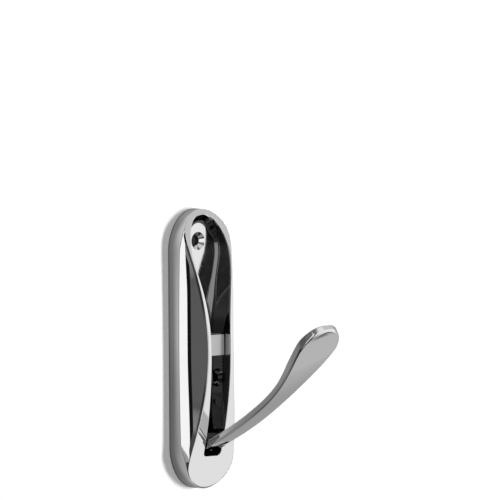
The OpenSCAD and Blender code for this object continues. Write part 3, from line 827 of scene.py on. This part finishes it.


# %% Painted shade in the recess
# Share of painted shade inside the recess, on the way from the chrome's colour to the dark one
RECESS_SHADE = 0.8
OVER_BRIDGE, UNDER_CROWN = 0.10, 0.15  # how much more painted shade there is above the bridge and at the top
BRIGHT_BY_BRIDGE = 0.75  # share of the painted shade taken off on the walls in front of the bridge
SINK_R = 5.0  # full painted shade over the lower screw's countersink and a little round it


def recess_share(x, y, z):
    """Share of painted shade inside the recess: none on the front and a fixed share from 1.5 mm
    below it. To that comes more above the bridge and at the crown, and full painted shade round the
    lower screw, and some is taken off in front of the bridge."""
    crown = end_hw(recess_hw(PADDLE_Z), RECESS_TOP - PADDLE_Z, z - PADDLE_Z)
    window = np.where(z > PADDLE_Z, crown, recess_hw(z))
    inside = (abs(x) < window + 0.1) & (z < RECESS_TOP + 0.1) & (z > RECESS_BOTTOM - 0.1)
    shaded = RECESS_SHADE + OVER_BRIDGE * fade(z, 18, 12) * fade(z, 0, 5) + UNDER_CROWN * fade(z, 47, 50)
    shaded = np.maximum(shaded, fade(np.hypot(x, z - SCREW_LOW), SINK_R, SINK_R - 1))
    by_bridge = (abs(z - BRIDGE_Z - BRIDGE_H / 2) < BRIDGE_H / 2 + 0.3) & (-y > bridge_face)
    return inside * shaded * fade(arch(z) + y, 0.3, 1.5) * (1 - BRIGHT_BY_BRIDGE * by_bridge)


# %% The shares of painted shade, kept on the pieces
HUB_SHADE = 5.4, 4.2  # distances from the pin over which the heel takes on painted shade


def places_of(piece):
    """Coordinates x, y and z of a piece's points in millimetres."""
    spot = np.empty(len(piece.data.vertices) * 3)
    piece.data.vertices.foreach_get("co", spot)
    return (spot.reshape(-1, 3) / MM).T


def store(piece, name, values):
    """Keeps one value for each point of a piece under a name that materials can read."""
    piece.data.attributes.new(name, "FLOAT", "POINT").data.foreach_set("value", values.astype(np.float32))


# Painted shade on the housing: the larger of the recess's share and the flank's
x, y, z = places_of(housing)
shaded = np.maximum(recess_share(x, y, z), groove_share(abs(x), -y, z))
store(housing, "depth", shaded)
print(int((shaded > 0).sum()), "of", shaded.size, "points of the housing have dull plating")

# Painted shade darkens the heel on the hub and leaves it bright where the tail and the stem come out of it
x, y, z = places_of(heel)
store(heel, "depth", fade(np.hypot(z - PIVOT_Z, -y - PIVOT_D), *HUB_SHADE))
# The arm gets no painted shade
store(arm, "depth", np.zeros(len(arm.data.vertices)))
# The photograph shows no shadow of the arm on the wall, only that of the housing
arm.visible_shadow = heel.visible_shadow = False

# %% [markdown]
# ## The wall and the light
# The hook stands on a white wall that keeps its soft shadow. The wall has an opening behind the
# hook, hidden by it, and can't be seen from behind, so that the back can be looked at too.

# %% The wall's shape
WALL_REACH = 1500
WALL_SHARES = (0, 0.02, 0.08, 0.3, 1)
WALL_END_STEPS, WALL_SIDE_STEPS = 40, 61
OPENING_INSET = 0.4
WALL_GAP = 0.02  # how far the wall lies behind the hook's back


def wall_rows(reach, inset, shares):
    """Rings from an opening shaped like the housing's outline, inset a little, out to an ellipse-like
    border: each ring is the opening's point moved towards the border's by a growing share."""
    x, z = outline_places(WALL_END_STEPS, WALL_SIDE_STEPS)
    x, z = np.concatenate([x, -x[-2:0:-1]]), np.concatenate([z, z[-2:0:-1]])
    far = np.stack([x / BODY_W * 2, z / BODY_H * 2], axis=-1)
    far = far / np.linalg.norm(far, axis=1, keepdims=True) * reach
    near = np.stack([x * (1 - 2 * inset / BODY_W), z * (1 - 2 * inset / BODY_H)], axis=-1)
    rings = np.stack([near + (far - near) * t for t in shares])
    return np.stack([rings[..., 0], np.full(rings.shape[:2], -WALL_GAP), rings[..., 1]], axis=-1)


def flat_disc(x, z, r, d, count=48):
    """A disc as two rows of a grid: a ring, whose points lie r times the cosine and sine of their
    angle from the centre, and the centre itself."""
    turn = np.linspace(0, 2 * math.pi, count, endpoint=False)
    ring = np.stack([x + r * np.cos(turn), np.full(count, d), z + r * np.sin(turn)], axis=-1)
    return np.stack([ring, np.broadcast_to([x, d, z], ring.shape)])


def face_room(piece):
    """Turns every face of a stage piece to look into the room, along minus y."""
    work = bmesh.new()
    work.from_mesh(piece.data)
    bmesh.ops.reverse_faces(work, faces=[f for f in work.faces if f.normal.y > 0])
    work.to_mesh(piece.data)
    work.free()


# %% [markdown]
# White paint takes the hook's shadow. A faint glow, only for rays that look straight at it, lifts
# the paint to the photograph's white and leaves the light on the hook alone. Behind the two screw
# holes lies a dark disc of painted shade, for the shade inside a hole in the wall.

# %% The wall's paint
WALL_GLOW = 0.18


def looked_at(tree):
    """1 for rays from the camera, from a mirror or through glass, and 0 for the light's own rays."""
    seen = add(tree, "ShaderNodeLightPath").outputs
    either = add(tree, "ShaderNodeMath", {0: seen["Is Camera Ray"], 1: seen["Is Glossy Ray"]},
                 operation="ADD")
    return add(tree, "ShaderNodeMath", {0: either.outputs[0], 1: seen["Is Transmission Ray"]},
               operation="ADD", use_clamp=True).outputs[0]


# Matt white emulsion: plain and even, so that the eye sees only the hook's shadow on it
wall_paint, tree = empty_material("wall_paint")
paint = add(tree, "ShaderNodeBsdfDiffuse", in0=linear("#F0F0F0"))
strength = add(tree, "ShaderNodeMath", {0: looked_at(tree)}, operation="MULTIPLY", in1=WALL_GLOW)
lift = add(tree, "ShaderNodeEmission", {"Strength": strength.outputs[0]}, in0=WHITE)
both = add(tree, "ShaderNodeAddShader", {0: paint.outputs[0], 1: lift.outputs[0]})
hollow = add(tree, "ShaderNodeBsdfTransparent")
behind_it = add(tree, "ShaderNodeNewGeometry").outputs["Backfacing"]
one_sided = add(tree, "ShaderNodeMixShader", {0: behind_it, 1: both.outputs[0], 2: hollow.outputs[0]})
add(tree, "ShaderNodeOutputMaterial", {"Surface": one_sided.outputs[0]})

# Painted shade: a dark disc stands for the shade inside a screw hole in the wall, with nothing to see in it
drilled = bpy.data.materials.new("drilled_hole")
drilled.use_nodes = True
dark_hole = drilled.node_tree.nodes["Principled BSDF"].inputs
dark_hole["Base Color"].default_value, dark_hole["Roughness"].default_value = linear("#2A2A2A"), 0.9
print("the wall's paint has", len(wall_paint.node_tree.nodes), "nodes")

# %% The wall, and painted shade behind the two screw holes
DISC_R, DISC_D = SCREW_R + 0.2, -0.05  # a little wider than the hole, and just behind the wall
wall = surface("wall", wall_rows(WALL_REACH, OPENING_INSET, WALL_SHARES), wrap_cols=True)
discs = [surface(f"wall_disc_{i}", flat_disc(0, z, DISC_R, DISC_D), wrap_cols=True)
         for i, z in enumerate((SCREW_TOP, SCREW_LOW))]
for piece, finish in ((wall, wall_paint), *((disc, drilled) for disc in discs)):
    face_room(piece)
    piece.data.materials.append(finish)

# %% [markdown]
# ## The room that the chrome shows
# Chrome shows the room and nothing else, so the room is drawn on a dome that only reflections see.
# It is a grey studio: a tall bright screen on the left for the white streak down the outer flank,
# a broad one on the right for the front and the arm's face, one ahead for the edges, and dark gaps
# between them that draw the dark lines. Real lamps would do this too, but they would also light the
# wall, and a formula can be tuned to the degree.

# %% Screens and gaps of the room
# Each is its brightness, then the azimuth and elevation of its middle, its width and height, and how
# soft its edges are, in degrees. Azimuth 0 is straight out from the wall and grows to the right.
STREAK_SCREEN = 1.15, (-52.4, 7), (15.2, 62), 2.5  # the white streak on the outer flank
AHEAD_SCREEN = 0.90, (0, 20), (46, 80), 6  # light on the rim and on the paddle's side
FLOOR_GAP = 0.06, (0, -48), (46, 52), 8  # dark in the window's upper edge and the paddle's side
RIGHT_SCREEN = (44, 8), (56, 130), 14  # the front and the arm's face; its brightness is worked out
TIP_GAP = 0.03, (62.5, -44), (25, 15), 3  # dark under the paddle's tip and along the housing's foot
EDGE_GAP = 0.02, (-80, -55), (60, 34), 6  # the dark left edge of the paddle and the stem's foot
FLANK_GAP = 0.085, (-34.2, -5), (20.6, 70), 1.2  # the dark flank
# The room's grey, and what is added to it in front, above and low on the left
GREY, FRONT_GREY, UPPER_GREY, LOW_LEFT_GREY = 0.11, 0.45, 0.10, 0.20


# %% The room's brightness
def panel(azimuth, elevation, centre, size, soft):
    """1 inside a rectangle of directions and 0 outside, fading over soft degrees at its edges."""
    off_side = abs((azimuth - centre[0] + 180) % 360 - 180) - size[0] / 2
    off_height = abs(elevation - centre[1]) - size[1] / 2
    return fade(off_side, soft / 2, -soft / 2) * fade(off_height, soft / 2, -soft / 2)


def room_glow(azimuth, elevation):
    """Brightness of the room by direction: grey, darker on the left and towards the floor, with a
    paler floor on the left, and the screens and gaps laid over it in turn. The screen on the right
    is brightest about level with the hook and dims above that."""
    level = GREY + FRONT_GREY * fade(azimuth, -42, -28) + UPPER_GREY * fade(elevation, -20, 70)
    level = level + LOW_LEFT_GREY * fade(elevation, -22, -36) * fade(azimuth, -42, -48)
    for glow, *where in (STREAK_SCREEN, AHEAD_SCREEN, FLOOR_GAP):
        level = blend(level, glow, panel(azimuth, elevation, *where))
    screen = 0.93 + 0.08 * fade(elevation, -14, -2) - 0.36 * fade(elevation, 13, 24)
    level = blend(level, screen, panel(azimuth, elevation, *RIGHT_SCREEN))
    for glow, *where in (TIP_GAP, EDGE_GAP, FLANK_GAP):
        level = blend(level, glow, panel(azimuth, elevation, *where))
    return level


print("straight out, the room's brightness is", round(float(room_glow(0, 0)), 2))

# %% The dome
DOME_RADIUS = 2500
around = np.linspace(-180, 180, 360, endpoint=False)
elevation, azimuth = np.meshgrid(np.linspace(-90, 90, 181), around, indexing="ij")
e, a = np.radians(elevation), np.radians(azimuth)
dome_points = np.stack([np.sin(a) * np.cos(e), np.cos(a) * np.cos(e), np.sin(e)], axis=-1) * DOME_RADIUS
dome = new_piece("room_dome", dome_points, cells(*azimuth.shape, False, True))
store(dome, "glow", room_glow(azimuth, elevation).reshape(-1))

# Lit cloth and dark card of a studio: nothing but brightness, as mirrors show it
room_paint, tree = empty_material("room_paint")
level = add(tree, "ShaderNodeAttribute", attribute_name="glow").outputs["Fac"]
light = add(tree, "ShaderNodeEmission", {"Strength": level}, in0=WHITE)
add(tree, "ShaderNodeOutputMaterial", {"Surface": light.outputs[0]})
dome.data.materials.append(room_paint)
print("the room has", len(dome.data.polygons), "faces")

# %% [markdown]
# The side wall of the housing and the arm's left edge look at the wall itself. A second wall, seen
# only by reflections, carries its brightness: dark close to the hook, where the hook keeps the light
# away, then a pale band, and grey further off.

# %% The wall as the chrome sees it
FOOT_GREY, LIT_GREY, BAND_GREY = 0.09, 0.12, 0.40  # against the hook, and what is added further off
LIT_SPAN, BAND_SPAN, FAR_SPAN = (0, 1.5), (3.8, 6.6), (9, 21)  # distances from the hook for these
RIGHT_NEAR = 0.36  # the even grey close to the hook on its right
LEFT_GREY, LEFT_FALL, LEFT_LOW = 0.25, 0.14, 0.85  # far left, its fall further off and low down
RIGHT_GREY, RIGHT_LOW, RIGHT_RISE = 0.12, 0.26, 0.20  # far right, and its rise low down and further off


def outline_gap(x, z):
    """Distance of a point on the wall from the housing's outline, measured towards its middle line
    along the sides and towards the middle of the end's ellipse past them."""
    over = np.maximum(abs(z) - STRAIGHT_Z, 0)
    q = np.maximum(np.hypot(x / BODY_W * 2, over / END_H), 1)
    return np.where(over > 0, np.hypot(x, over) * (1 - 1 / q), np.maximum(abs(x) - BODY_W / 2, 0))


def mirror_wall_glow(x, z):
    """How bright the wall looks in the chrome: dim close to the hook, with a pale band beyond 4 mm
    that is brighter higher up and past the two ends. On the far left it falls off, and low down
    there it is nearly black. On the far right it grows with the logarithm of the distance, from
    200 mm to 7.5 times that."""
    gap = outline_gap(x, z)
    on_right = fade(x, -10, 10)
    near = FOOT_GREY + LIT_GREY * fade(gap, *LIT_SPAN) + BAND_GREY * fade(gap, *BAND_SPAN)
    near = near * (0.78 + 0.20 * fade(z, -20, 10) + 0.20 * fade(z, 45, 60))
    near = near * (1 + 0.35 * fade(abs(x), 14, 8) * fade(abs(z), 50, 58))
    near = blend(near, RIGHT_NEAR, on_right)
    far_low = fade(0.30 * x - z, 10, 40) * fade(x, -80, -170)
    left_wall = (LEFT_GREY - LEFT_FALL * fade(x, -60, -110)) * (1 - LEFT_LOW * far_low)
    distance = np.log(np.maximum(np.hypot(x, z) / 200, 1)) / math.log(7.5)
    right_wall = RIGHT_GREY + RIGHT_LOW * fade(x - z, 20, 80) + RIGHT_RISE * fade(distance, 0, 1)
    return blend(near, blend(left_wall, right_wall, on_right), fade(gap, *FAR_SPAN))


# %% The mirrored wall
MIRROR_SHARES = (0, 0.0005, 0.001, 0.002, 0.004, 0.007, 0.012, 0.02, 0.04, 0.1, 0.3, 1)
MIRROR_OUT = 0.05  # how far it stands out from the hook's back
mirror_grid = wall_rows(WALL_REACH, 0.0, MIRROR_SHARES)
mirror_grid[..., 1] = MIRROR_OUT
mirror_wall = surface("mirror_wall", mirror_grid, wrap_cols=True)
face_room(mirror_wall)
x, _, z = places_of(mirror_wall)
store(mirror_wall, "glow", mirror_wall_glow(x, z))
mirror_wall.data.materials.append(room_paint)
for piece in (dome, mirror_wall):
    piece.visible_camera = piece.visible_diffuse = piece.visible_shadow = piece.visible_transmission = False
    piece.visible_volume_scatter = False

# %% [markdown]
# One lamp on the right, as tall as a window, throws the short soft shadow on the left of the hook.
# The chrome doesn't mirror it. The world is white to look at and lights the wall only a little.

# %% The lamp and the world
KEY_PLACE, KEY_SIZE, KEY_WATTS = (1.37, -2.63, -0.05), (0.5, 0.9), 78
WORLD_LIGHT = 0.22


def lamp(name, place, size, watts):
    """An area lamp, size wide and tall, that looks at the hook and that the chrome doesn't mirror."""
    data = bpy.data.lights.new(name, "AREA")
    data.shape, data.energy = "RECTANGLE", watts
    data.size, data.size_y = size
    holder = bpy.data.objects.new(name, data)
    holder.location = place
    holder.rotation_mode = "QUATERNION"
    holder.rotation_quaternion = (-Vector(place)).to_track_quat("-Z", "Y")
    holder.visible_glossy = False
    bpy.context.scene.collection.objects.link(holder)


lamp("key", KEY_PLACE, KEY_SIZE, KEY_WATTS)
world = bpy.data.worlds.new("studio")
bpy.context.scene.world = world
world.use_nodes = True
tree = world.node_tree
tree.nodes.clear()
strength = add(tree, "ShaderNodeMapRange", {"Value": looked_at(tree)}, in3=WORLD_LIGHT, in4=1.0)
sky = add(tree, "ShaderNodeBackground", {"Strength": strength.outputs["Result"]}, in0=WHITE)
add(tree, "ShaderNodeOutputWorld", {"Surface": sky.outputs[0]})
bpy.context.scene.view_settings.view_transform = "Standard"
print("one lamp of", KEY_WATTS, "W and a white world")
